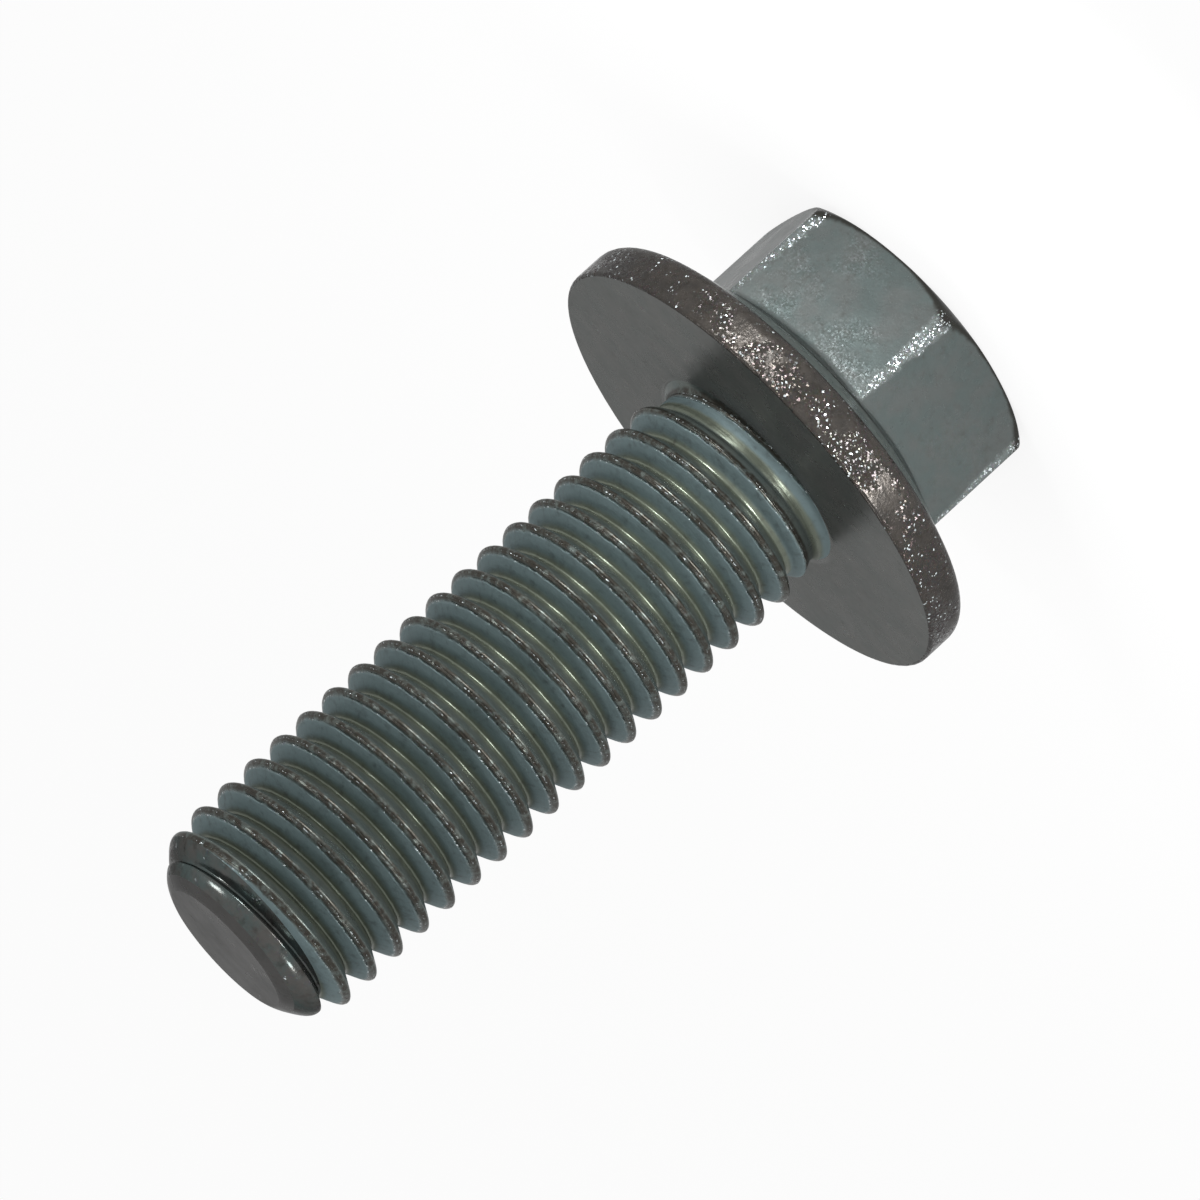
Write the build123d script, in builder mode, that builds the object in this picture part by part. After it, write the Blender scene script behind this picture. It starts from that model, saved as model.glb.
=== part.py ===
"""Hexagon flange bolt, M10 x 1.5, with a small-series hexagon.

The bolt is one cold-formed piece: hexagon, flange, neck and rolled thread. It stands on its head.
The origin is the centre of the flange's bearing face, and +Z runs up the shank to the tip.
"""

from build123d import *
import math
import os

# Driving dimensions, in millimetres and degrees.

# Thread: right-hand, 60 degree metric form. Its groove follows the helix in straight cuts, as many
# to a turn as this, and the rod has as many sides, which keeps its facets few.
thread_diameter = 10.0
thread_pitch = 1.5
flank_angle = 30.0
cuts_a_turn = 20

# Shank, measured from the bearing face to the tip.
shank_length = 30.3
tip_flat_diameter = 5.8
tip_length = 2.4
tip_shoulder_diameter = 8.7
tip_shoulder_length = 0.85

# Neck under the head: the blank's own diameter, which the thread grows out of.
neck_diameter = 9.0
neck_length = 0.7
neck_fillet = 0.6

# Run-out: the crests rise from the neck over one length, and the roots sink into it over another,
# which starts a little further up.
crest_runout = 1.2
root_runout = 1.5
root_lead = 0.3

# Flange: a thin rim, then a cone that rises to the hexagon.
flange_diameter = 21.65
rim_height = 1.9
rim_rounding = 0.7
bearing_edge_break = 0.15
cone_angle = 24.0

# Hexagon.
across_flats = 13.1
corner_rounding = 0.3
head_height = 9.35

# Crown: the rounded chamfer at the head's top edge.
crown_flat_diameter = 11.0
crown_height = 1.15
crown_rounding = 2.0
crown_diameter = 15.5

# How far a cutting tool stands past the metal that it cuts, and past a corner that two cuts share.
tool_overrun = 0.5
past_corner = 0.1

# Sizes that follow.

thread_radius = thread_diameter / 2
triangle_height = thread_pitch / 2 / math.tan(math.radians(flank_angle))
thread_depth = triangle_height * 17 / 24
root_radius = thread_radius - thread_depth
crest_flat = thread_pitch / 8
root_flat = thread_pitch / 6

# The groove starts inside the head, more than its own width below the end of the neck.
groove_start = neck_length - thread_pitch * 5 / 6
groove_turns = math.ceil((shank_length - groove_start) / thread_pitch) + 1
rod_bottom = groove_start - thread_pitch
rod_top = groove_start + (groove_turns + 1) * thread_pitch

# The groove's flanks run on past the crest by a small share of its flat, and its mouth then
# goes straight out, so that no edge of the tool lies on the rod's own surface.
past_crest = crest_flat / 8
mouth_radius = thread_radius + past_crest
half_root = root_flat / 2
half_mouth = half_root + (mouth_radius - root_radius) * math.tan(math.radians(flank_angle))

# Each cut touches the root's cylinder at its middle and climbs with the helix. It runs a little
# past the corner where it meets the next one.
cut_angle = 360 / cuts_a_turn
cut_rise = thread_pitch / cuts_a_turn
half_step = math.tan(math.radians(cut_angle / 2))
cut_slope = cut_rise / (2 * root_radius * half_step)
cut_half_length = mouth_radius * half_step + past_corner

root_runout_end = neck_length + root_lead + root_runout

flange_radius = flange_diameter / 2
hexagon_inradius = across_flats / 2
cone_rise = math.tan(math.radians(cone_angle))
cone_base = rim_height + (flange_radius - hexagon_inradius) * cone_rise
crown_start = crown_height - head_height


with BuildPart() as groove_cut:
    # One straight cut of the thread's groove.
    with BuildSketch(Plane.XZ):
        with BuildLine():
            Polyline(
                (root_radius, -half_root),
                (mouth_radius, -half_mouth),
                (mouth_radius + tool_overrun, -half_mouth),
                (mouth_radius + tool_overrun, half_mouth),
                (mouth_radius, half_mouth),
                (root_radius, half_root),
                close=True,
            )
        make_face()
    extrude(amount=cut_half_length, dir=(0, 1, cut_slope), both=True)


with BuildPart() as flange_bolt:
    # Threaded rod: a many-sided rod with the groove cut out of it along the helix. Each cut lies
    # along one side, so the crest is equally wide all the way.
    with BuildSketch(Plane.XY.offset(rod_bottom)):
        RegularPolygon(thread_radius, side_count=cuts_a_turn)
    extrude(amount=rod_top - rod_bottom)
    cut_places = []
    for cut in range(groove_turns * cuts_a_turn):
        middle = cut + 0.5
        cut_places.append(
            Location((0, 0, groove_start + middle * cut_rise), (0, 0, middle * cut_angle))
        )
    with Locations(*cut_places):
        add(groove_cut.part, mode=Mode.SUBTRACT)

    # Tip: cut to length, then taken down to a flat end in two chamfers, the second one flatter.
    split(bisect_by=Plane.XY.offset(shank_length), keep=Keep.BOTTOM)
    with BuildSketch(Plane.XZ):
        with BuildLine():
            Polyline(
                (thread_radius, shank_length - tip_length),
                (tip_shoulder_diameter / 2, shank_length - tip_shoulder_length),
                (tip_flat_diameter / 2, shank_length),
                (tip_flat_diameter / 2, shank_length + tool_overrun),
                (thread_radius + tool_overrun, shank_length + tool_overrun),
                (thread_radius + tool_overrun, shank_length - tip_length),
                close=True,
            )
        make_face()
    revolve(axis=Axis.Z, mode=Mode.SUBTRACT)

    # Run-out: the rod ends inside the neck, and its crests shrink down to the neck's diameter.
    split(bisect_by=Plane.XY.offset(neck_length / 2), keep=Keep.TOP)
    with BuildSketch(Plane.XZ):
        with BuildLine():
            Polyline(
                (neck_diameter / 2, rod_bottom - tool_overrun),
                (neck_diameter / 2, neck_length),
                (mouth_radius, neck_length + crest_runout),
                (thread_radius + tool_overrun, neck_length + crest_runout),
                (thread_radius + tool_overrun, rod_bottom - tool_overrun),
                close=True,
            )
        make_face()
    revolve(axis=Axis.Z, mode=Mode.SUBTRACT)

    # Neck and flange, in one turned profile. The neck's cone fills the roots where they run out.
    with BuildSketch(Plane.XZ):
        with BuildLine():
            FilletPolyline(
                (0, root_runout_end),
                (root_radius - crest_flat, root_runout_end),
                (neck_diameter / 2, neck_length + root_lead),
                (neck_diameter / 2, 0),
                (flange_radius - bearing_edge_break, 0),
                (flange_radius, -bearing_edge_break),
                (flange_radius, -rim_height),
                (hexagon_inradius, -cone_base),
                (0, -cone_base),
                radius=(0, 0, 0, neck_fillet, 0, 0, rim_rounding, 0, 0),
                close=True,
            )
        make_face()
    revolve(axis=Axis.Z)

    # Hexagon, from the head's top to inside the flange.
    with BuildSketch(Plane.XY.offset(-head_height)) as hexagon:
        RegularPolygon(hexagon_inradius, side_count=6, major_radius=False, rotation=30)
        fillet(hexagon.vertices(), corner_rounding)
    extrude(amount=head_height - rim_height / 2)

    # Crown: the head's top edge is rounded off to a circle.
    with BuildSketch(Plane.XZ):
        with BuildLine():
            crown_arc = RadiusArc(
                (crown_diameter / 2, crown_start),
                (crown_flat_diameter / 2, -head_height),
                crown_rounding,
            )
            Polyline(
                crown_arc @ 1,
                (crown_flat_diameter / 2, -head_height - tool_overrun),
                (crown_diameter / 2 + tool_overrun, -head_height - tool_overrun),
                (crown_diameter / 2 + tool_overrun, crown_start),
                crown_arc @ 0,
            )
        make_face()
    revolve(axis=Axis.Z, mode=Mode.SUBTRACT)

flange_bolt.part.label = "flange_bolt"

os.makedirs("parts", exist_ok=True)
export_step(flange_bolt.part, "parts/flange_bolt.step")
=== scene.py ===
"""Hexagon flange bolt, M10 x 1.5, bright zinc plated, standing on its head.

One closed mesh replaces the CAD node: a shank whose rolled thread is a Geometry Nodes rule, and a
cold-forged head whose flange, hexagon and crown are one grid of turned and six-sided rows.
Lengths are metres and +Z runs up the shank, with the origin at the flange's bearing face.
"""

import logging
import math
from dataclasses import dataclass, field, replace
from enum import Enum
from typing import NamedTuple

import bmesh
import bpy
from mathutils import Matrix, Vector


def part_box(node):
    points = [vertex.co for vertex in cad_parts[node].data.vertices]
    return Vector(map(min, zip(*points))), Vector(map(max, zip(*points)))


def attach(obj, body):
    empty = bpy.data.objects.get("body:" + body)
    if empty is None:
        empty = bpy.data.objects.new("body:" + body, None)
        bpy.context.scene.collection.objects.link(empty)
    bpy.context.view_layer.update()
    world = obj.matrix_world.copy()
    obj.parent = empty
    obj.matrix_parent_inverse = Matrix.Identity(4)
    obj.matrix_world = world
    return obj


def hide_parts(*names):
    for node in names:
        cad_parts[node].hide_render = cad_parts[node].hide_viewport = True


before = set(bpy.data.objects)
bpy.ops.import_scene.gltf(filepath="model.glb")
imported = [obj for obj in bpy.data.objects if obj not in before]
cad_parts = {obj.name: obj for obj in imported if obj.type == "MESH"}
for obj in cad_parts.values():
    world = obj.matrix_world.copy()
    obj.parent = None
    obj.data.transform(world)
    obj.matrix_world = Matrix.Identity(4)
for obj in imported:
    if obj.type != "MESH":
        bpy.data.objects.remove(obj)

MM = 0.001
WELD = 0.0005 * MM
CAD_NODE = "flange_bolt"
BODY = "root"

SMOOTH = {"interpolation_type": "SMOOTHSTEP"}
SIGNS = {"+": "ADD", "-": "SUBTRACT", "*": "MULTIPLY", "/": "DIVIDE", "*+": "MULTIPLY_ADD"}

Tree = bpy.types.NodeTree
Socket = bpy.types.NodeSocket

log = logging.getLogger("flange_bolt")


class Zone(Enum):
    """The bolt's surfaces, by how each one was made. The value is the material slot's number."""

    THREAD = 0
    TIP = 1
    END = 2
    BEARING = 3
    RIM = 4
    CONE = 5
    HEXAGON = 6
    TOP = 7


def linear(hex_colour: str) -> tuple[float, float, float, float]:
    """Turns an sRGB colour to linear light.

    Args:
        hex_colour: The colour, as #RRGGBB.

    Returns:
        Linear red, green and blue, and an alpha of 1.
    """
    channels = []
    for start in (1, 3, 5):
        value = int(hex_colour[start : start + 2], 16) / 255
        channels.append(value / 12.92 if value <= 0.04045 else ((value + 0.055) / 1.055) ** 2.4)
    return (*channels, 1.0)


def add_node(tree: Tree, kind: str, inputs: dict | list | None = None, **settings: object) -> Socket:
    """Adds one node with its settings and links.

    Args:
        tree: The node tree that gets the node.
        kind: The node's type, as Blender names it. A shader node's goes without its "ShaderNode".
        inputs: An output to link, or a value to set, for each input: by name, or in order.
        settings: The node's own properties.

    Returns:
        The node's first visible output, or None where it has none.
    """
    made = tree.nodes.new(kind if "Node" in kind else f"ShaderNode{kind}")
    for name, value in settings.items():
        setattr(made, name, value)
    pairs = enumerate(inputs) if isinstance(inputs, list) else (inputs or {}).items()
    for key, value in pairs:
        if isinstance(value, Socket):
            tree.links.new(value, made.inputs[key])
        else:
            made.inputs[key].default_value = value
    shown = [output for output in made.outputs if output.enabled]
    return shown[0] if shown else None


def work_out(tree: Tree, known: dict, formula: str) -> dict:
    """Adds the math nodes of a formula.

    Each line gives a name to a value, either by signs, as in a = b * c + d, or by a math node's own
    operation, as in a = POWER b c.

    Args:
        tree: The node tree that gets the nodes.
        known: The sockets and numbers that the formula starts from, by name.
        formula: The lines. Each is one node.

    Returns:
        What was known, and each name that the formula gives a value to.
    """
    values = dict(known)
    for line in formula.strip().splitlines():
        name, _, *words = line.split()
        operation = SIGNS.get("".join(words[1::2]))
        operands = words[::2] if operation else words[1:]
        inputs = [values[word] if word in values else float(word) for word in operands]
        settings = {"operation": operation or words[0]}
        values[name] = add_node(tree, "Math", inputs, **settings)
    return values


def place(name: str, data: bpy.types.ID) -> bpy.types.Object:
    """Makes an object of some data and puts it in the scene.

    Args:
        name: The object's name.
        data: Its mesh, light or camera.

    Returns:
        The object.
    """
    made = bpy.data.objects.new(name, data)
    bpy.context.scene.collection.objects.link(made)
    return made


def per_mm(size: float) -> float:
    """Gives the texture scale at which one grain is size millimetres wide."""
    return 1 / (size * MM)


def smooth_lower(first: float, second: float, blend: float) -> float:
    """Gives the lower of two lengths, with their corner rounded over a blend length.

    Args:
        first: One length.
        second: The other length.
        blend: How far apart the two are where the rounding starts.

    Returns:
        The blended lower length.
    """
    share = max(blend - abs(first - second), 0.0) / blend
    return min(first, second) - share**3 * blend / 6


def smooth_higher(first: float, second: float, blend: float) -> float:
    """Gives the higher of two lengths, blended as in smooth_lower."""
    return -smooth_lower(-first, -second, blend)


def arc_centre(start: tuple[float, float], end: tuple[float, float], radius: float) -> Vector:
    """Finds the centre of an arc that lies to the left of the way from its start to its end.

    Args:
        start: Where the arc starts, as a radius and a height.
        end: Where it ends.
        radius: The arc's own radius.

    Returns:
        The centre's radius and height.
    """
    chord = Vector(end) - Vector(start)
    inward = Vector((-chord.y, chord.x)).normalized()
    reach = math.sqrt(radius**2 - (chord.length / 2) ** 2)
    return (Vector(start) + Vector(end)) / 2 + inward * reach


@dataclass(frozen=True)
class Relief:
    """One layer of relief: how wide its grains are and how high they stand, in millimetres."""

    size: float
    height: float


@dataclass(frozen=True)
class Soil:
    """What darkens the plate in patches: its colour, the patches' width, share and depth of tone."""

    colour: str
    size: float
    share: float
    depth: float


@dataclass(frozen=True)
class Sparkle:
    """Zinc crystals: flat facets that each lean their own way and flash one by one.

    Size and cluster are widths in millimetres, lean is a slope, share is how much of the surface
    the clusters cover, and sheen is the roughness of a facet. The last share is that of the crystals
    painted in the light colour of worn-through zinc: partly wear, partly painted glints.
    """

    size: float
    lean: float
    cluster: float
    share: float
    sheen: float
    bare: float


# The noise behind every patch: how far its middle moves with the share, and how finely it breaks up.
PATCH_REACH = 0.36
PATCH_DETAIL = 5.0
PATCH_BREAKUP = 0.62

Bands = tuple[tuple[float, float], ...]


@dataclass(frozen=True)
class Surface:
    """A material being built.

    It holds the tree, the coordinates in metres that patterns read, a random colour for each
    crystal and, once that is known, where the crystals lie open.
    """

    tree: Tree
    where: Socket
    crystals: Socket
    cluster: Socket | None = None


@dataclass(frozen=True, kw_only=True)
class ZincPlate:
    """Bright zinc plate with a thin blue-green passivate, over the steel surface below it.

    The plate copies the steel's own texture: the forging's grain, the rolls' marks or the die's
    polish. The passivate is a clear film that scatters part of the light, so the shader is partly
    metal and partly a dull grey coat. Lengths are millimetres of the real texture.
    """

    name: str
    base: str
    tint: str
    mottle: float
    roughness: float
    wave: Relief
    grain: Relief
    soil: Soil
    sparkle: Sparkle
    unevenness: float = 0.04
    metallic: float = 0.6
    edge: str = "#FFFFFF"
    iridescence: float = 0.12
    # The light colour of worn-through zinc, painted on some crystals: partly wear, partly painted
    # glints.
    zinc: str = "#C6CED0"

    def build(self) -> bpy.types.Material:
        """Builds the material's node tree.

        Returns:
            The material.
        """
        material = bpy.data.materials.new(self.name)
        material.use_nodes = True
        tree = material.node_tree
        tree.nodes.clear()
        where = add_node(tree, "TexCoord").node.outputs["Object"]
        cells = {"Vector": where, "Scale": per_mm(self.sparkle.size)}
        on = Surface(tree, where, add_node(tree, "TexVoronoi", cells).node.outputs["Color"])
        on = replace(on, cluster=self._cluster(on))
        inputs = {
            "Base Color": self._iridescent(on, self._colour(on)),
            "Metallic": self.metallic,
            "Roughness": self._roughness(on),
            "Specular Tint": linear(self.edge),
            "Normal": self._relief(on, self._lean(on)),
        }
        shader = add_node(tree, "BsdfPrincipled", inputs)
        add_node(tree, "OutputMaterial", {"Surface": shader})
        return material

    def _patches(self, on: Surface, size: float, share: float, softness: float) -> Socket:
        """Marks ragged patches that cover a share of the surface.

        Args:
            on: The material being built.
            size: How wide a patch is, in millimetres.
            share: How much of the surface the patches cover, from 0 to 1.
            softness: How gradual their edges are.

        Returns:
            1 inside a patch and 0 outside.
        """
        middle = 0.5 + PATCH_REACH * (0.5 - share)
        ragged = {"Vector": on.where, "Scale": per_mm(size), "Detail": PATCH_DETAIL}
        noise = add_node(on.tree, "TexNoise", ragged | {"Roughness": PATCH_BREAKUP})
        limits = {"Value": noise, "From Min": middle - softness, "From Max": middle + softness}
        return add_node(on.tree, "MapRange", limits, **SMOOTH)

    def _layered(self, on: Surface, plate: Socket | tuple, layers: list[tuple[Socket, str]]) -> Socket:
        """Lays colours over the plate, one after the other.

        Args:
            on: The material being built.
            plate: The colour below them.
            layers: For each colour where it lies, from 0 to 1, and the colour, as #RRGGBB.

        Returns:
            The colour that shows.
        """
        for share, colour in layers:
            inputs = {"Factor": share, "A": plate, "B": linear(colour)}
            plate = add_node(on.tree, "Mix", inputs, data_type="RGBA")
        return plate

    def _cluster(self, on: Surface) -> Socket:
        """Marks where the crystals lie open, in clusters."""
        return self._patches(on, self.sparkle.cluster, self.sparkle.share, 0.08)

    def _mottled(self, on: Surface) -> Socket:
        """Marks the half of the plate that has the passivate's tint."""
        return self._patches(on, self.mottle, 0.5, 0.14)

    def _colour(self, on: Surface) -> Socket:
        """Mixes the plate's grey, its passivate's tint and what lies on it."""
        plate = self._layered(on, linear(self.base), [(self._mottled(on), self.tint)])
        return self._soiled(on, plate)

    def _soiled(self, on: Surface, plate: Socket) -> Socket:
        """Lays the soil over the plate, in patches and as a fine dust between the grains.

        Args:
            on: The material being built.
            plate: The clean plate's colour.

        Returns:
            The soiled colour.
        """
        known = {"patches": self._patches(on, self.soil.size, self.soil.share, 0.12)}
        known["dust"] = self._patches(on, self.grain.size * 2.2, 0.35, 0.12)
        steps = f"""
            spread = dust * 0.45 + 0.55
            inside = patches * spread
            inside = inside * {self.soil.depth}
            sum = dust * {self.soil.depth * 0.22} + inside
        """
        amount = work_out(on.tree, known, steps)["sum"]
        return self._layered(on, plate, [(amount, self.soil.colour)])

    def _iridescent(self, on: Surface, colour: Socket) -> Socket:
        """Gives each open crystal its own faint film colour; some get a light zinc colour, partly
        painted glints.

        Args:
            on: The material being built.
            colour: The colour so far.

        Returns:
            The colour with the films.
        """
        known = {"cluster": on.cluster, "pick": add_node(on.tree, "SeparateColor", [on.crystals])}
        steps = f"""
            film = cluster * {self.iridescence}
            bare = LESS_THAN pick {self.sparkle.bare}
            open = POWER cluster 3.0
            bare = bare * open
        """
        share = work_out(on.tree, known, steps)
        inputs = {"Factor": share["film"], "A": colour, "B": on.crystals}
        filmed = add_node(on.tree, "Mix", inputs, data_type="RGBA", blend_type="OVERLAY")
        # The light crystals are partly worn-through zinc and partly painted glints.
        return self._layered(on, filmed, [(share["bare"], self.zinc)])

    def _roughness(self, on: Surface) -> Socket:
        """Varies the gloss: duller and glossier patches, and crystals with their own sheen.

        Args:
            on: The material being built.

        Returns:
            The roughness.
        """
        known = {"dull": self._patches(on, self.mottle * 1.7, 0.5, 0.16), "cluster": on.cluster}
        steps = f"""
            plate = dull - 0.5
            plate = plate * {2 * self.unevenness} + {self.roughness}
            gap = {self.sparkle.sheen} - plate
            mixed = gap * cluster + plate
        """
        return work_out(on.tree, known, steps)["mixed"]

    def _lean(self, on: Surface) -> Socket:
        """Leans each open crystal's facet its own way.

        Args:
            on: The material being built.

        Returns:
            The normal.
        """
        kind = "VectorMath"
        centred = add_node(on.tree, kind, [on.crystals, (0.5, 0.5, 0.5)], operation="SUBTRACT")
        step = f"lean = cluster * {2 * self.sparkle.lean}"
        amount = work_out(on.tree, {"cluster": on.cluster}, step)["lean"]
        sideways = add_node(on.tree, kind, {"Vector": centred, "Scale": amount}, operation="SCALE")
        upright = add_node(on.tree, "NewGeometry").node.outputs["Normal"]
        leaning = add_node(on.tree, kind, [upright, sideways], operation="ADD")
        return add_node(on.tree, kind, [leaning], operation="NORMALIZE")

    def _relief(self, on: Surface, normal: Socket) -> Socket:
        """Adds the steel's low waves and its fine grain as bump.

        Args:
            on: The material being built.
            normal: The normal so far.

        Returns:
            The bumped normal.
        """
        for layer, detail in ((self.wave, 2.0), (self.grain, 3.0)):
            grains = {"Vector": on.where, "Scale": per_mm(layer.size), "Detail": detail}
            noise = add_node(on.tree, "TexNoise", grains)
            inputs = {"Height": noise, "Distance": layer.height * MM, "Normal": normal}
            normal = add_node(on.tree, "Bump", inputs)
        return normal


@dataclass(frozen=True, kw_only=True)
class ThreadPlate(ZincPlate):
    """Zinc plate on the rolled thread, whose crests, flanks and roots look different.

    A place on the thread is its phase: the share of a pitch from the nearest crest's middle, above
    0 towards the tip. The rolls fold the crest into fine seams, which hold soil.
    """

    pitch: float
    crest_start: float
    # The flank's colour is the passivate's teal, lightened as painted light against the groove's
    # shade.
    flank: str
    flank_band: tuple[float, float]
    crest: str
    crest_band: tuple[float, float]
    # The root's lighter green-grey is painted light: it lifts the groove's shade and tints its
    # highlights.
    root: str
    root_bands: Bands
    frost: float
    frost_bands: Bands
    seams: tuple[float, ...]
    seam_width: float
    seam_depth: float
    streaks: Relief
    streak_stretch: float
    crest_softness: float = 0.035
    flank_softness: float = 0.05
    root_softness: float = 0.06
    frost_softness: float = 0.04

    def _phase(self, on: Surface) -> Socket:
        """Works out the phase, from -0.5 to 0.5, a little uneven as rolled steel flows.

        Args:
            on: The material being built.

        Returns:
            The phase.
        """
        axes = add_node(on.tree, "SeparateXYZ", [on.where]).node.outputs
        fine = {"Vector": on.where, "Scale": per_mm(0.5), "Detail": 3.0}
        known = {"x": axes["X"], "y": axes["Y"], "z": axes["Z"]}
        known["flow"] = add_node(on.tree, "TexNoise", fine)
        steps = f"""
            angle = ARCTAN2 y x
            climbed = z - {self.crest_start}
            turns = climbed / {self.pitch}
            turned = angle / {2 * math.pi}
            turns = turns - turned
            uneven = flow * 0.05 + 0.475
            turns = turns + uneven
            share = FRACT turns
            phase = share - 0.5
        """
        return work_out(on.tree, known, steps)["phase"]

    def _bands(self, on: Surface, bands: Bands, softness: float) -> Socket:
        """Marks the parts of the thread that lie between two phases.

        Args:
            on: The material being built.
            bands: Where each part starts and ends.
            softness: How gradual their edges are.

        Returns:
            1 inside a band and 0 outside.
        """
        phase = self._phase(on)
        inside = 0.0
        for start, end in bands:
            rising = {"Value": phase, "From Min": start - softness, "From Max": start + softness}
            falling = {"Value": phase, "From Min": end + softness, "From Max": end - softness}
            edges = [add_node(on.tree, "MapRange", edge, **SMOOTH) for edge in (rising, falling)]
            band = add_node(on.tree, "Math", edges, operation="MULTIPLY")
            inside = add_node(on.tree, "Math", [band, inside], operation="MAXIMUM")
        return inside

    def _seam_share(self, on: Surface) -> Socket:
        """Marks the seams' lines, which open and close along the crest.

        Args:
            on: The material being built.

        Returns:
            1 on a seam's line and 0 off it.
        """
        half = self.seam_width / 2
        lines = tuple((seam - half, seam + half) for seam in self.seams)
        known = {"lines": self._bands(on, lines, self.seam_width / 3)}
        known["opened"] = self._patches(on, 0.7, 0.6, 0.1)
        steps = """
            opened = opened * 0.8 + 0.2
            share = lines * opened
        """
        return work_out(on.tree, known, steps)["share"]

    def _cluster(self, on: Surface) -> Socket:
        """Keeps the open crystals to the seams, which crack the plate."""
        both = [self._seam_share(on), super()._cluster(on)]
        return add_node(on.tree, "Math", both, operation="MULTIPLY")

    def _colour(self, on: Surface) -> Socket:
        """Colours the flank, the root and the soiled crest by phase, flank and root with painted
        light.

        Args:
            on: The material being built.

        Returns:
            The base colour.
        """
        worn = self._patches(on, 0.35, 0.72, 0.14)
        crest = [self._bands(on, (self.crest_band,), self.crest_softness), worn]
        layers = [
            (self._mottled(on), self.tint),
            # Flank and root are lighter than the plate: painted light against the shade in the groove.
            (self._bands(on, (self.flank_band,), self.flank_softness), self.flank),
            (self._bands(on, self.root_bands, self.root_softness), self.root),
            (add_node(on.tree, "Math", crest, operation="MULTIPLY"), self.crest),
        ]
        return self._soiled(on, self._layered(on, linear(self.base), layers))

    def _roughness(self, on: Surface) -> Socket:
        """Frosts the flanks, which scatter light, and leaves the crest and the root glossy.

        Args:
            on: The material being built.

        Returns:
            The roughness.
        """
        known = {"gloss": super()._roughness(on)}
        known["inside"] = self._bands(on, self.frost_bands, self.frost_softness)
        steps = f"""
            gap = {self.frost} - gloss
            mixed = gap * inside + gloss
        """
        return work_out(on.tree, known, steps)["mixed"]

    def _relief(self, on: Surface, normal: Socket) -> Socket:
        """Cuts the seams and the rolls' fine streaks in before the waves and the grain.

        Args:
            on: The material being built.
            normal: The normal so far.

        Returns:
            The bumped normal.
        """
        cut = {"Height": self._seam_share(on), "Distance": self.seam_depth * MM, "Normal": normal}
        normal = add_node(on.tree, "Bump", cut, invert=True)
        narrow = (1 / self.streak_stretch, 1 / self.streak_stretch, 1.0)
        drawn = add_node(on.tree, "VectorMath", [on.where, narrow], operation="MULTIPLY")
        fine = {"Vector": drawn, "Scale": per_mm(self.streaks.size), "Detail": 2.0}
        lines = add_node(on.tree, "TexNoise", fine)
        raised = {"Height": lines, "Distance": self.streaks.height * MM, "Normal": normal}
        return super()._relief(on, add_node(on.tree, "Bump", raised))


@dataclass(frozen=True, kw_only=True)
class HexagonPlate(ZincPlate):
    """Zinc plate on the hexagon, with open crystals and a painted highlight at its worn corners, and a
    painted dark shade band on its crown.

    Both are found by the distance from the bolt's axis: the corners stand further out, and the
    crown is where that distance meets the crown's arc.
    """

    # Colour and width of the crown rounding's dark band, which is painted shade.
    film: str
    film_width: float
    arc_centre: tuple[float, float]
    arc_radius: float
    # The corners' lighter colour and its band: partly wear, partly a painted highlight.
    worn: str
    worn_start: float
    worn_taper: float
    worn_end: float
    open_share: float
    raggedness: float = 0.3 * MM
    worn_softness: float = 0.12 * MM
    end_softness: float = 0.04 * MM

    def _shares(self, on: Surface) -> dict:
        """Works out how much of the crown's painted shade and the corners' worn band lies at a place,
        0 to 1.

        Args:
            on: The material being built.

        Returns:
            The crown's painted shade and the corners' worn band with its painted highlight, by name.
        """
        axes = add_node(on.tree, "SeparateXYZ", [on.where]).node.outputs
        rough = {"Vector": on.where, "Scale": per_mm(0.4), "Detail": 4.0}
        known = {"x": axes["X"], "y": axes["Y"], "z": axes["Z"]}
        known["ragged"] = add_node(on.tree, "TexNoise", rough)
        centre_radius, centre_height = self.arc_centre
        steps = f"""
            radius = x * x
            radius = y * y + radius
            radius = SQRT radius
            uneven = ragged - 0.5
            uneven = uneven * {self.raggedness}
            drop = z - {centre_height}
            drop = MINIMUM drop 0.0
            drop = drop * drop
            arc = {self.arc_radius ** 2} - drop
            arc = SQRT arc
            arc = arc + {centre_radius}
            gap = arc - radius
            gap = gap + uneven
            film = gap / {self.film_width}
            start = z * {self.worn_taper} + {self.worn_start}
            over = radius - start
            over = over + uneven
            over = over / {self.worn_softness}
            inside = {self.worn_end} - radius
            inside = inside / {self.end_softness}
            over = MINIMUM over inside
        """
        values = work_out(on.tree, known, steps)
        # The first share is the crown's painted shade; the second the corners' worn band and painted
        # highlight.
        film = {"Value": values["film"], "From Min": 1.5, "From Max": 0.5}
        return {
            "film": add_node(on.tree, "MapRange", film, **SMOOTH),
            "wear": add_node(on.tree, "MapRange", {"Value": values["over"]}, **SMOOTH),
        }

    def _cluster(self, on: Surface) -> Socket:
        """Opens the crystals wide at the worn corners, and a little in clusters elsewhere.

        Args:
            on: The material being built.

        Returns:
            Where the crystals lie open.
        """
        known = self._shares(on) | {"spots": super()._cluster(on)}
        known["rubbed"] = self._patches(on, 0.5, 0.75, 0.15)
        steps = f"""
            spots = spots * {self.open_share}
            rubbed = rubbed * wear
            open = MAXIMUM spots rubbed
        """
        return work_out(on.tree, known, steps)["open"]

    def _colour(self, on: Surface) -> Socket:
        """Lays the corners' worn colour, partly a painted highlight, and the crown's painted shade
        over the plate.

        Args:
            on: The material being built.

        Returns:
            The base colour.
        """
        shares = self._shares(on)
        # Corners: partly wear, partly a painted highlight. Crown: a painted dark shade band.
        layers = [(shares["wear"], self.worn), (shares["film"], self.film)]
        return self._layered(on, super()._colour(on), layers)
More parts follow.
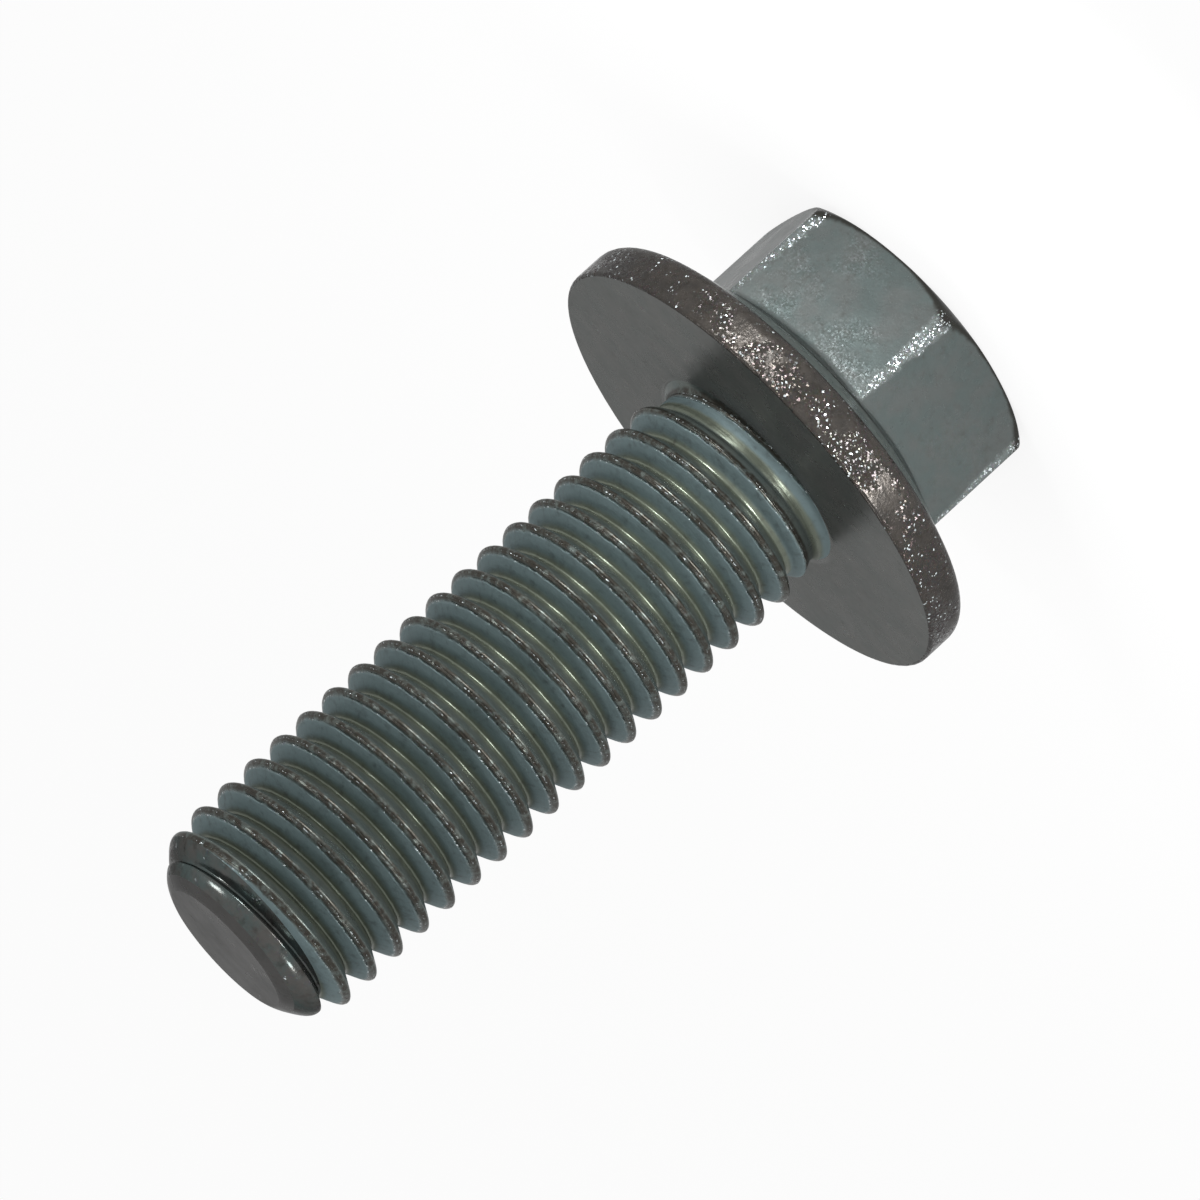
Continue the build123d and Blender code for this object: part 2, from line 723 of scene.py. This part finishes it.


# The rolls leave the flanks smooth; their teal is partly the bath's tint and partly painted light
# against the groove's shade, and the roots' lighter green-grey is painted light. The crest's seams
# keep a brown soil and bright flecks, partly worn-through zinc and partly painted glints: the thread
# mirrors the room in broad soft bands.
ROLLED_THREAD = ThreadPlate(
    name="zinc_plate_rolled_thread", edge="#B4B4B4", base="#555B57", tint="#505957", mottle=1.4,
    metallic=0.65, roughness=0.3, wave=Relief(1.1, 0.02),
    grain=Relief(0.14, 0.005), soil=Soil("#2E2B26", 0.45, 0.2, 0.4),
    sparkle=Sparkle(size=0.07, lean=0.4, cluster=0.4, share=0.55, sheen=0.12, bare=0.25),
    # Flank and root colours below are partly painted light against the groove's shade.
    pitch=1.5 * MM, crest_start=0.26 * MM, flank="#627173", flank_band=(0.14, 0.47),
    crest="#312F2A", crest_band=(-0.06, 0.13), root="#5E6459",
    root_bands=((0.4, 1.0), (-1.0, -0.34)), frost=0.6, frost_bands=((0.16, 0.44),),
    seams=(0.06, 0.15), seam_width=0.035, seam_depth=0.018, streaks=Relief(0.09, 0.008),
    streak_stretch=14.0,
)

# The point is rolled over with the thread, and is the shiniest place of the bolt.
ROLLED_TIP = ZincPlate(
    name="zinc_plate_rolled_point", edge="#8C8C8C", base="#504F4D", tint="#485150", mottle=1.2,
    metallic=0.8, roughness=0.22, unevenness=0.05, wave=Relief(1.4, 0.04),
    grain=Relief(0.16, 0.004), soil=Soil("#2B2824", 0.5, 0.22, 0.6),
    sparkle=Sparkle(size=0.1, lean=0.14, cluster=0.8, share=0.25, sheen=0.15, bare=0.05),
)

# The point's end is a sheared face that the rolls don't reach: flat, even, with a few dark pits.
SHEARED_END = ZincPlate(
    name="zinc_plate_sheared_end_face", base="#444342", tint="#3E3E3D", edge="#8C8C8C", mottle=1.8,
    roughness=0.32, wave=Relief(2.4, 0.03), grain=Relief(0.2, 0.003),
    soil=Soil("#35332F", 0.3, 0.06, 0.6),
    sparkle=Sparkle(size=0.08, lean=0.06, cluster=1.0, share=0.1, sheen=0.2, bare=0.0),
)

# The die irons the bearing face nearly to a mirror, so it shows the shank as a soft dark patch.
IRONED_BEARING = ZincPlate(
    name="zinc_plate_ironed_bearing_face", base="#5D5E5C", tint="#575A58", edge="#8C8C8C",
    mottle=1.8, roughness=0.28, wave=Relief(1.6, 0.02), grain=Relief(0.16, 0.003),
    soil=Soil("#3A3935", 0.6, 0.1, 0.4),
    sparkle=Sparkle(size=0.08, lean=0.06, cluster=1.0, share=0.1, sheen=0.2, bare=0.0),
)

# The rim is the blank's stretched edge: coarse grain that sparkles and holds grey dirt.
FORGED_RIM = ZincPlate(
    name="zinc_plate_forged_rim", edge="#707070", base="#3A3734", tint="#33312F", mottle=0.7,
    roughness=0.27, unevenness=0.05, wave=Relief(0.9, 0.02), grain=Relief(0.12, 0.01),
    soil=Soil("#26231F", 0.3, 0.3, 0.65),
    sparkle=Sparkle(size=0.075, lean=0.36, cluster=1.3, share=0.55, sheen=0.16, bare=0.03),
)

# The flange's cone lies in the die's shade and keeps a duller film.
FORGED_CONE = ZincPlate(
    name="zinc_plate_forged_flange_cone", base="#535855", tint="#4C5553", mottle=0.9, roughness=0.3,
    unevenness=0.06, wave=Relief(0.9, 0.03), grain=Relief(0.15, 0.006),
    soil=Soil("#2E2D2A", 0.4, 0.25, 0.5),
    sparkle=Sparkle(size=0.1, lean=0.1, cluster=0.9, share=0.1, sheen=0.2, bare=0.0),
)

# The hexagon's sides are extruded through the die: even, with a fine grain under the plate. Its
# corners rub against everything, so their crystals flash, and their lighter band is partly wear and
# partly a painted highlight. The crown's rounding carries a painted dark shade band.
EXTRUDED_HEXAGON = HexagonPlate(
    name="zinc_plate_extruded_hexagon", base="#4E5251", tint="#495150", edge="#A8A8A8", mottle=1.6,
    roughness=0.3, wave=Relief(1.8, 0.02), grain=Relief(0.12, 0.004),
    soil=Soil("#3B3734", 0.5, 0.12, 0.45),
    sparkle=Sparkle(size=0.07, lean=0.34, cluster=2.8, share=0.4, sheen=0.16, bare=0.15),
    # The crown's painted shade band, then the corners' lighter colour, partly a painted highlight.
    film="#2A2A27", film_width=0.25 * MM, arc_centre=(5.92 * MM, -7.395 * MM), arc_radius=2.0 * MM,
    worn="#626867", worn_start=7.56 * MM, worn_taper=0.036, worn_end=7.56 * MM, open_share=0.2,
)

# The head's top is as even as the cone, and turned away from the wear.
FORGED_TOP = replace(FORGED_CONE, name="zinc_plate_forged_top", mottle=1.4)

FINISHES = {
    Zone.THREAD: ROLLED_THREAD,
    Zone.TIP: ROLLED_TIP,
    Zone.END: SHEARED_END,
    Zone.BEARING: IRONED_BEARING,
    Zone.RIM: FORGED_RIM,
    Zone.CONE: FORGED_CONE,
    Zone.HEXAGON: EXTRUDED_HEXAGON,
    Zone.TOP: FORGED_TOP,
}


# The shank's rule is three formulas, in the form that work_out reads. The first gives a row's place:
# round the neck's fillet, then straight up the shank. Past the fillet its radius falls away, so that
# it leaves the thread alone.
ROW_PLACE = f"""
    angle = ARCTAN2 y x
    along = row + 0.5
    along = along * path_length
    bend = along / neck_fillet
    bend = MINIMUM bend {math.pi / 2}
    climb = COSINE bend
    climb = 1.0 - climb
    climb = climb * neck_fillet
    bent = neck_fillet * {math.pi / 2}
    straight = along - bent
    straight = MAXIMUM straight 0.0
    height = climb + straight
    fillet = SINE bend
    fillet = 1.0 - fillet
    fillet = fillet * neck_fillet + neck_radius
    fillet = fillet - straight
"""

# The thread's radius. The phase is measured from the nearest crest's middle. The sharp V stands an
# eighth of its own height above the crest and is rounded at crest and root. At the neck the crests
# start low and the roots sink in after them.
THREAD_RADIUS = f"""
    turns = height - crest_start
    turns = turns / pitch
    turned = angle / {2 * math.pi}
    turns = turns - turned
    turns = turns + 0.5
    phase = FRACT turns
    phase = phase - 0.5
    from_crest = ABSOLUTE phase
    from_crest = from_crest * pitch
    peak = pitch * flank_slope
    peak = peak * {1 / 16} + crest_radius
    fall = from_crest * flank_slope
    radius = peak - fall
    radius = SMOOTH_MIN radius crest_radius crest_blend
    radius = SMOOTH_MAX radius root_radius root_blend
    rise = height - crest_runout_start
    rise = rise * crest_runout_slope + neck_radius
    radius = SMOOTH_MIN radius rise {0.1 * MM}
    sink = height - root_runout_start
    sink = MAXIMUM sink 0.0
    sink = sink * root_runout_slope
    sink = neck_radius - sink
    radius = SMOOTH_MAX radius sink {0.1 * MM}
    radius = MAXIMUM radius fillet
    knock_x = COSINE angle
    knock_x = knock_x * crest_radius
    knock_y = SINE angle
    knock_y = knock_y * crest_radius
"""

# The point is an arc that the thread's last ridges still cross, ever lower. The handling dents only
# ever go inward, and leave the neck's fillet alone.
POINT_AND_DENTS = f"""
    above = height - tip_centre_height
    above = MAXIMUM above 0.0
    above = POWER above 2.0
    arc = POWER tip_rounding 2.0
    arc = arc - above
    arc = SQRT arc
    arc = arc + tip_centre_radius
    ridge = phase * {2 * math.pi}
    ridge = COSINE ridge
    ridge = ridge - 1.0
    ridge = ridge * ridge_height
    fade = length - height
    fade = fade / pitch
    fade = MINIMUM fade 1.0
    arc = ridge * fade + arc
    radius = SMOOTH_MIN radius arc {0.08 * MM}
    knocks = knocks - 0.45
    knocks = MAXIMUM knocks 0.0
    knocks = knocks * dent_height
    clear = height - neck_fillet
    clear = clear / neck_fillet
    clear = MINIMUM clear 1.0
    clear = MAXIMUM clear 0.0
    knocks = knocks * clear
    radius = radius - knocks
    out_x = COSINE angle
    out_x = out_x * radius
    out_y = SINE angle
    out_y = out_y * radius
"""


@dataclass
class Shank:
    """The threaded shank, from the bearing face to the rim of its end face.

    A tube's rows are set out along the neck's fillet and up the shank, and each vertex is then moved
    to the radius that the thread's rule gives for its height and angle.
    """

    length: float = 30.3 * MM
    crest_radius: float = 5.07 * MM
    pitch: float = 1.5 * MM
    thread_depth: float = 1.05 * MM
    flank_angle: float = 30.0
    crest_blend: float = 0.3 * MM
    root_blend: float = 0.3 * MM
    crest_start: float = 0.26 * MM
    neck_radius: float = 4.5 * MM
    neck_fillet: float = 0.6 * MM
    crest_runout_start: float = 0.7 * MM
    crest_runout: float = 1.2 * MM
    root_runout_start: float = 1.0 * MM
    root_runout: float = 1.5 * MM
    tip_flat_radius: float = 3.2 * MM
    tip_length: float = 2.4 * MM
    tip_rounding: float = 2.75 * MM
    ridge_height: float = 0.16 * MM
    dent_height: float = 0.03 * MM
    dent_size: float = 1.1
    columns: int = 144
    rows_a_turn: int = 26

    @property
    def path_length(self) -> float:
        """The length of a row-to-row line from the bearing face to the end face."""
        return self.neck_fillet * math.pi / 2 + self.length - self.neck_fillet

    def inputs(self) -> dict[str, float]:
        """Gives the node tree's inputs: the shank's own sizes, and those that follow from them.

        Returns:
            The value of each input, by its name.
        """
        own = (
            "crest_radius pitch crest_start crest_blend root_blend neck_radius neck_fillet length "
            "crest_runout_start root_runout_start tip_rounding ridge_height dent_height"
        )
        sizes = {name.replace("_", " ").title(): getattr(self, name) for name in own.split()}
        root_radius = self.crest_radius - self.thread_depth
        start = (self.crest_radius, self.length - self.tip_length)
        tip_centre = arc_centre(start, (self.tip_flat_radius, self.length), self.tip_rounding)
        return sizes | {
            "Path Length": self.path_length,
            "Root Radius": root_radius,
            "Flank Slope": 1 / math.tan(math.radians(self.flank_angle)),
            "Crest Runout Slope": (self.crest_radius - self.neck_radius) / self.crest_runout,
            "Root Runout Slope": (self.neck_radius - root_radius) / self.root_runout,
            "Tip Centre Radius": tip_centre.x,
            "Tip Centre Height": tip_centre.y,
        }

    def build(self, material: bpy.types.Material) -> bpy.types.Mesh:
        """Evaluates the thread's node tree.

        Args:
            material: What the tree sets on the shank.

        Returns:
            The shank as a plain open mesh.
        """
        tree, sockets = self._tree(material)
        carrier = place("shank_rule", bpy.data.meshes.new("shank_rule"))
        modifier = carrier.modifiers.new("Rolled thread", "NODES")
        modifier.node_group = tree
        for name, value in self.inputs().items():
            modifier[sockets[name]] = value
        depsgraph = bpy.context.evaluated_depsgraph_get()
        mesh = bpy.data.meshes.new_from_object(carrier.evaluated_get(depsgraph))
        carrier.modifiers.remove(modifier)
        bpy.data.objects.remove(carrier)
        return mesh

    def _tree(self, material: bpy.types.Material) -> tuple[Tree, dict[str, str]]:
        """Builds the thread's node tree.

        Args:
            material: What the tree sets on the shank.

        Returns:
            The tree, and the identifier of each input by its name.
        """
        tree = bpy.data.node_groups.new("Rolled thread", "GeometryNodeTree")
        sockets = {}
        for name in self.inputs():
            made = tree.interface.new_socket(name, in_out="INPUT", socket_type="NodeSocketFloat")
            sockets[name] = made.identifier
        tree.interface.new_socket("Shank", in_out="OUTPUT", socket_type="NodeSocketGeometry")
        size = tree.nodes.new("NodeGroupInput").outputs

        rows = round(self.path_length / self.pitch * self.rows_a_turn)
        grid = {"Vertices": self.columns, "Side Segments": rows, "Radius": 1.0, "Depth": 1.0}
        tube = add_node(tree, "GeometryNodeMeshCylinder", grid, fill_type="NONE")
        position = add_node(tree, "GeometryNodeInputPosition")
        axes = add_node(tree, "SeparateXYZ", [position]).node.outputs
        known = {name.replace(" ", "_").lower(): size[name] for name in sockets}
        known |= {"x": axes["X"], "y": axes["Y"], "row": axes["Z"]}
        known = work_out(tree, work_out(tree, known, ROW_PLACE), THREAD_RADIUS)
        round_shank = [known["knock_x"], known["knock_y"], known["height"]]
        spot = add_node(tree, "CombineXYZ", round_shank)
        knocks = {"Vector": spot, "Scale": per_mm(self.dent_size), "Detail": 2.0}
        known["knocks"] = add_node(tree, "TexNoise", knocks)
        known = work_out(tree, known, POINT_AND_DENTS)
        goal = add_node(tree, "CombineXYZ", [known["out_x"], known["out_y"], known["height"]])
        moved = add_node(tree, "GeometryNodeSetPosition", {"Geometry": tube, "Position": goal})
        real = add_node(tree, "GeometryNodeRealizeInstances", {"Geometry": moved})
        dress = {"Geometry": real, "Material": material}
        dressed = add_node(tree, "GeometryNodeSetMaterial", dress)
        add_node(tree, "NodeGroupOutput", {"Shank": dressed})
        return tree, sockets


class Row(NamedTuple):
    """One row of the head's grid: its zone, its height, and the flange's and the crown's radii there.

    Without a flange radius the row lies wholly on the hexagon or above it. Without a crown radius
    it lies where the crown cuts nothing off.
    """

    zone: Zone
    height: float
    flange: float = 0.0
    crown: float = 1.0


@dataclass
class Head:
    """The forged head: bearing face, flange rim, cone, hexagon and crown, down to the top's middle.

    The head is one grid. Its rows are set out here, and a column is an angle, set closer together
    at the hexagon's corners.
    """

    inner_radius: float = 5.16 * MM
    flange_radius: float = 10.825 * MM
    edge_break: float = 0.15 * MM
    rim_height: float = 1.9 * MM
    rim_rounding: float = 0.7 * MM
    cone_angle: float = 24.0
    across_flats: float = 13.1 * MM
    corner_rounding: float = 0.34 * MM
    base_blend: float = 0.5 * MM
    base_height: float = 1.1 * MM
    height: float = 9.35 * MM
    crown_radius: float = 7.75 * MM
    crown_flat_radius: float = 5.5 * MM
    crown_height: float = 1.15 * MM
    crown_rounding: float = 2.0 * MM
    crown_blend: float = 0.16 * MM
    top_hub_radius: float = 0.3 * MM
    bearing_rows: int = 14
    edge_rows: int = 5
    rim_rows: int = 8
    rounding_rows: int = 9
    cone_rows: int = 8
    base_rows: int = 18
    side_rows: int = 12
    crown_rows: int = 24
    top_rows: int = 12
    columns_a_side: int = 30
    corner_crowding: float = 2.6

    def angles(self) -> list[float]:
        """Sets out the columns.

        Returns:
            The angle of each column in radians, once round.
        """
        half = self.columns_a_side // 2
        spread = []
        for step in range(half):
            share = math.expm1(self.corner_crowding * step / half)
            spread.append(30 * share / math.expm1(self.corner_crowding))
        offsets = [-value for value in reversed(spread[1:])] + spread + [30.0]
        return [math.radians(30 + 60 * corner + offset) for corner in range(6) for offset in offsets]

    def hexagon_radius(self, angle: float) -> float:
        """Gives the hexagon's radius, with its rounded corners.

        Args:
            angle: The direction from the axis, in radians.

        Returns:
            The distance from the axis to the hexagon's side.
        """
        inradius = self.across_flats / 2
        rounding = self.corner_rounding
        half_side = math.pi / 6
        from_corner = abs((angle - math.radians(30) + half_side) % (math.pi / 3) - half_side)
        centre = (inradius - rounding) / math.cos(half_side)
        tangent_x = centre + rounding * math.cos(half_side)
        if from_corner > math.atan2(rounding * math.sin(half_side), tangent_x):
            return inradius / math.cos(half_side - from_corner)
        across = centre * math.sin(from_corner)
        return centre * math.cos(from_corner) + math.sqrt(rounding**2 - across**2)

    def rows(self) -> list[Row]:
        """Sets out the rows, from the bearing face's inner edge to the top.

        Returns:
            The rows.
        """
        flat_end = self.flange_radius - self.edge_break
        spread = self._spread(self.inner_radius, flat_end, self.bearing_rows, 0.04 * MM)
        rows = [Row(Zone.BEARING, 0.0, radius) for radius in spread]
        for step in range(1, self.edge_rows + 1):
            turn = math.radians(90 * step / self.edge_rows)
            height = -self.edge_break * (1 - math.cos(turn))
            rows.append(Row(Zone.RIM, height, flat_end + self.edge_break * math.sin(turn)))
        slope = math.radians(self.cone_angle)
        turn_end = math.pi / 2 - slope
        rim_end = self.rim_rounding * math.tan(turn_end / 2) - self.rim_height
        for height in self._spread(-self.edge_break, rim_end, self.rim_rows, 0.06 * MM)[1:]:
            rows.append(Row(Zone.RIM, height, self.flange_radius))
        centre = self.flange_radius - self.rim_rounding
        for step in range(1, self.rounding_rows + 1):
            turn = turn_end * step / self.rounding_rows
            height = rim_end - self.rim_rounding * math.sin(turn)
            rows.append(Row(Zone.RIM, height, centre + self.rim_rounding * math.cos(turn)))
        top, edge = rows[-1].height, rows[-1].flange
        foot_radius = self.across_flats / 2 / math.cos(math.pi / 6) + self.base_blend
        for radius in self._spread(edge, foot_radius, self.cone_rows, 0.08 * MM)[1:]:
            rows.append(Row(Zone.CONE, top - (edge - radius) * math.tan(slope), radius))
        top, edge = rows[-1].height, rows[-1].flange
        for step in range(1, self.base_rows + 1):
            drop = self.base_height * step / self.base_rows
            rows.append(Row(Zone.HEXAGON, top - drop, edge - drop / math.tan(slope)))
        crown_start = self.crown_height - self.height
        for height in self._spread(top - self.base_height, crown_start, self.side_rows, 0.2 * MM)[1:]:
            rows.append(Row(Zone.HEXAGON, height))
        return rows + self._crown(crown_start)

    def _crown(self, crown_start: float) -> list[Row]:
        """Sets out the rows of the crown's arc and of the flat top.

        Args:
            crown_start: The height at which the arc leaves the corners.

        Returns:
            The rows.
        """
        start, end = (self.crown_radius, crown_start), (self.crown_flat_radius, -self.height)
        centre = arc_centre(end, start, self.crown_rounding)
        first = math.atan2(start[1] - centre.y, start[0] - centre.x)
        last = math.atan2(end[1] - centre.y, end[0] - centre.x)
        rows = []
        for step in range(1, self.crown_rows + 1):
            turn = first + (last - first) * step / self.crown_rows
            height = max(centre.y + self.crown_rounding * math.sin(turn), -self.height)
            radius = centre.x + self.crown_rounding * math.cos(turn)
            rows.append(Row(Zone.HEXAGON, height, crown=radius))
        spread = self._spread(self.crown_flat_radius, self.top_hub_radius, self.top_rows, 0.05 * MM)
        return rows + [Row(Zone.TOP, -self.height, crown=radius) for radius in spread[1:]]

    @staticmethod
    def _spread(start: float, end: float, count: int, margin: float) -> list[float]:
        """Spaces values evenly, with one close to each end to hold the edge's shading.

        Args:
            start: The first value.
            end: The last value.
            count: How many even steps there are.
            margin: How far the two holding values stand from the ends.

        Returns:
            The values in order.
        """
        sign = 1 if end > start else -1
        inner = [start + (end - start) * step / count for step in range(1, count)]
        kept = [value for value in inner if abs(value - start) > margin < abs(value - end)]
        return [start, start + sign * margin, *kept, end - sign * margin, end]

    def radius_at(self, angle: float, row: Row) -> float:
        """Gives the head's radius where the flange, the hexagon and the crown meet.

        Args:
            angle: The direction from the axis, in radians.
            row: The row.

        Returns:
            The radius.
        """
        if row.zone is Zone.BEARING or row.flange > self.crown_radius + self.base_blend:
            return row.flange
        radius = smooth_higher(self.hexagon_radius(angle), row.flange, self.base_blend)
        return smooth_lower(radius, row.crown, self.crown_blend)

    def build(self) -> bpy.types.Mesh:
        """Builds the head's grid, open at the bearing face's inner edge.

        Returns:
            The head's mesh, with each face's zone as its material's number.
        """
        form = bmesh.new()
        angles = self.angles()
        rows = self.rows()
        rings = []
        for row in rows:
            ring = []
            for angle in angles:
                radius = self.radius_at(angle, row)
                spot = (radius * math.cos(angle), radius * math.sin(angle), row.height)
                ring.append(form.verts.new(spot))
            rings.append(ring)
        for row, inner, outer in zip(rows[1:], rings, rings[1:]):
            for index in range(len(angles)):
                after = (index + 1) % len(angles)
                face = form.faces.new((inner[index], outer[index], outer[after], inner[after]))
                face.material_index = row.zone.value
        middle = form.verts.new((0.0, 0.0, -self.height))
        for index in range(len(angles)):
            face = form.faces.new((rings[-1][index], middle, rings[-1][(index + 1) % len(angles)]))
            face.material_index = Zone.TOP.value
        mesh = bpy.data.meshes.new("head")
        form.to_mesh(mesh)
        form.free()
        return mesh


@dataclass
class FlangeBolt:
    """The whole bolt: shank and head joined into one closed skin."""

    shank: Shank = field(default_factory=Shank)
    head: Head = field(default_factory=Head)
    tip_share: float = 0.62
    end_edge: float = 0.3 * MM
    end_face_radii: tuple[float, ...] = (3.14 * MM, 2.4 * MM, 1.6 * MM, 0.8 * MM, 0.3 * MM)

    def build(self) -> bpy.types.Object:
        """Builds the bolt, dresses it and ties it to the frame.

        Returns:
            The bolt's object.
        """
        materials = {zone: finish.build() for zone, finish in FINISHES.items()}
        shank = self.shank.build(materials[Zone.THREAD])
        head = self.head.build()
        form = bmesh.new()
        form.from_mesh(shank)
        for face in form.faces:
            face.material_index = Zone.THREAD.value
        form.from_mesh(head)
        self._close_end(form)
        self._join_foot(form)
        self._mark_tip(form)
        for face in form.faces:
            face.smooth = True
        bmesh.ops.remove_doubles(form, verts=form.verts, dist=WELD)
        bmesh.ops.recalc_face_normals(form, faces=form.faces)
        mesh = bpy.data.meshes.new("flange_bolt_skin")
        form.to_mesh(mesh)
        form.free()
        for zone in Zone:
            mesh.materials.append(materials[zone])
        bolt = place("flange_bolt_skin", mesh)
        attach(bolt, BODY)
        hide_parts(CAD_NODE)
        return bolt

    def _close_end(self, form: bmesh.types.BMesh) -> None:
        """Closes the shank's end with rings down to the middle of the end face.

        Args:
            form: The bolt so far.
        """
        top = self.shank.length
        ring = [vert for vert in form.verts if abs(vert.co.z - top) < 2 * WELD]
        ring.sort(key=lambda vert: math.atan2(vert.co.y, vert.co.x))
        for radius in self.end_face_radii:
            inner = []
            for vert in ring:
                flat = Vector((vert.co.x, vert.co.y)).normalized() * radius
                inner.append(form.verts.new((flat.x, flat.y, top)))
            for index in range(len(ring)):
                after = (index + 1) % len(ring)
                form.faces.new((ring[index], ring[after], inner[after], inner[index]))
            ring = inner
        middle = form.verts.new((0.0, 0.0, top))
        for index in range(len(ring)):
            form.faces.new((ring[index], ring[(index + 1) % len(ring)], middle))

    def _join_foot(self, form: bmesh.types.BMesh) -> None:
        """Bridges the neck's foot to the bearing face's inner edge.

        Args:
            form: The bolt so far.
        """
        loose = [edge for edge in form.edges if edge.is_boundary]
        joined = bmesh.ops.bridge_loops(form, edges=loose)
        for face in joined["faces"]:
            face.material_index = Zone.BEARING.value

    def _mark_tip(self, form: bmesh.types.BMesh) -> None:
        """Gives the rounded point and the end face their own finishes.

        Args:
            form: The bolt so far.
        """
        start = self.shank.length - self.shank.tip_length * self.tip_share
        end = self.shank.length - self.end_edge
        for face in form.faces:
            height = face.calc_center_median().z
            if height > end:
                face.material_index = Zone.END.value
            elif height > start:
                face.material_index = Zone.TIP.value


@dataclass(frozen=True)
class Lamp:
    """A pair of small square lamps, spread to both sides of the camera's direction in degrees.

    Distance is measured from the bolt's axis, height from the floor, and power is in watts.
    """

    name: str
    spread: float
    distance: float
    height: float
    width: float
    power: float


@dataclass
class Studio:
    """The pale floor, the lamps and the camera."""

    floor_height: float
    target: Vector
    camera_azimuth: float = -83.43
    camera_elevation: float = 15.23
    camera_roll: float = 132.41
    camera_distance: float = 0.4377
    lens: float = 315.3
    frame_offset: tuple[float, float] = (0.918 * MM, 1.110 * MM)
    floor_glow: float = 0.85
    surround: float = 0.85
    lamps: tuple[Lamp, ...] = (
        Lamp("low", spread=33.0, distance=42.0 * MM, height=6.5 * MM, width=9.5 * MM, power=0.019),
        Lamp("high", spread=72.0, distance=46.0 * MM, height=78.0 * MM, width=12.0 * MM, power=0.009),
    )

    def axes(self) -> tuple[Vector, Vector, Vector]:
        """Works out the camera's own axes.

        Returns:
            Its right, its up and its backward direction.
        """
        azimuth = math.radians(self.camera_azimuth)
        elevation = math.radians(self.camera_elevation)
        roll = math.radians(self.camera_roll)
        flat = math.cos(elevation)
        back = Vector((flat * math.cos(azimuth), flat * math.sin(azimuth), math.sin(elevation)))
        level = Vector((-math.sin(azimuth), math.cos(azimuth), 0.0))
        upright = back.cross(level)
        right = level * math.cos(roll) - upright * math.sin(roll)
        above = level * math.sin(roll) + upright * math.cos(roll)
        return right, above, back

    def build(self) -> None:
        """Builds the floor, the world, the lamps and the camera."""
        self._camera()
        self._floor()
        self._world()
        self._lamps()
        bpy.context.scene.view_settings.view_transform = "Standard"

    def _camera(self) -> None:
        """Stands the camera at its angle and makes it the scene's own."""
        right, above, back = self.axes()
        across, upward = self.frame_offset
        aim = self.target + right * across + above * upward
        data = bpy.data.cameras.new("camera")
        data.lens = self.lens
        data.sensor_width = 36.0
        data.clip_start = 0.01
        data.clip_end = 10.0
        camera = place("camera", data)
        turned = Matrix((right, above, back)).transposed().to_4x4()
        camera.matrix_world = Matrix.Translation(aim + back * self.camera_distance) @ turned
        bpy.context.scene.camera = camera

    def _floor(self) -> None:
        """Lays a wide pale floor under the head, which shows white and keeps the shadow."""
        mesh = bpy.data.meshes.new("floor")
        half = 2.0
        corners = [(-half, -half), (half, -half), (half, half), (-half, half)]
        mesh.from_pydata([(x, y, self.floor_height) for x, y in corners], [], [(0, 1, 2, 3)])
        material = bpy.data.materials.new("matt_white_board")
        material.use_nodes = True
        tree = material.node_tree
        tree.nodes.clear()
        board = {"Base Color": linear("#F4F4F4"), "Roughness": 0.9, "Specular IOR Level": 0.2}
        matt = add_node(tree, "BsdfPrincipled", board)
        seen = add_node(tree, "Math", [self._seen(tree), self.floor_glow], operation="MULTIPLY")
        white = add_node(tree, "Emission", {"Color": (1.0, 1.0, 1.0, 1.0)})
        shown = add_node(tree, "MixShader", [seen, matt, white])
        add_node(tree, "OutputMaterial", {"Surface": shown})
        mesh.materials.append(material)
        floor = place("floor", mesh)

    def _seen(self, tree: Tree) -> Socket:
        """Marks the rays that show a surface itself: the camera's, and what mirrors or lets through.

        Args:
            tree: The tree of a backdrop's material or of the world.

        Returns:
            1 for such a ray and 0 for light that only falls on the object.
        """
        path = add_node(tree, "LightPath").node.outputs
        rays = {"camera": path["Is Camera Ray"], "glossy": path["Is Glossy Ray"]}
        rays["through"] = path["Is Transmission Ray"]
        steps = """
            seen = MAXIMUM camera glossy
            seen = MAXIMUM seen through
        """
        return work_out(tree, rays, steps)["seen"]

    def _world(self) -> None:
        """Gives a white background, and a plain even light from all round."""
        world = bpy.data.worlds.new("studio")
        world.use_nodes = True
        tree = world.node_tree
        tree.nodes.clear()
        levels = {"Value": self._seen(tree), "To Min": self.surround, "To Max": 1.0}
        strength = add_node(tree, "MapRange", levels)
        light = {"Color": (1.0, 1.0, 1.0, 1.0), "Strength": strength}
        surround = add_node(tree, "Background", light)
        add_node(tree, "OutputWorld", {"Surface": surround})
        bpy.context.scene.world = world

    def _lamps(self) -> None:
        """Stands each lamp on both sides of the camera's view, turned to the bolt."""
        for lamp in self.lamps:
            for side in (-1, 1):
                azimuth = math.radians(self.camera_azimuth + side * lamp.spread)
                data = bpy.data.lights.new(f"lamp_{lamp.name}", "AREA")
                data.size = lamp.width
                data.energy = lamp.power
                stand = place(f"lamp_{lamp.name}", data)
                across, along = math.cos(azimuth) * lamp.distance, math.sin(azimuth) * lamp.distance
                stand.location = (across, along, self.floor_height + lamp.height)
                away = stand.location - self.target
                stand.rotation_euler = away.to_track_quat("Z", "Y").to_euler()
                stand.visible_camera = False


def main() -> None:
    """Builds the bolt and its studio, and reports each piece."""
    logging.basicConfig(level=logging.INFO, format="%(name)s: %(message)s")
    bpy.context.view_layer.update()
    bolt = FlangeBolt().build()
    log.info("%s: %d faces", bolt.name, len(bolt.data.polygons))
    low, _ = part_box(CAD_NODE)
    studio = Studio(floor_height=low[2], target=Vector((0.0, 0.0, 9.965 * MM)))
    studio.build()
    log.info("camera: %s", bpy.context.scene.camera.name)


if __name__ == "__main__":
    main()
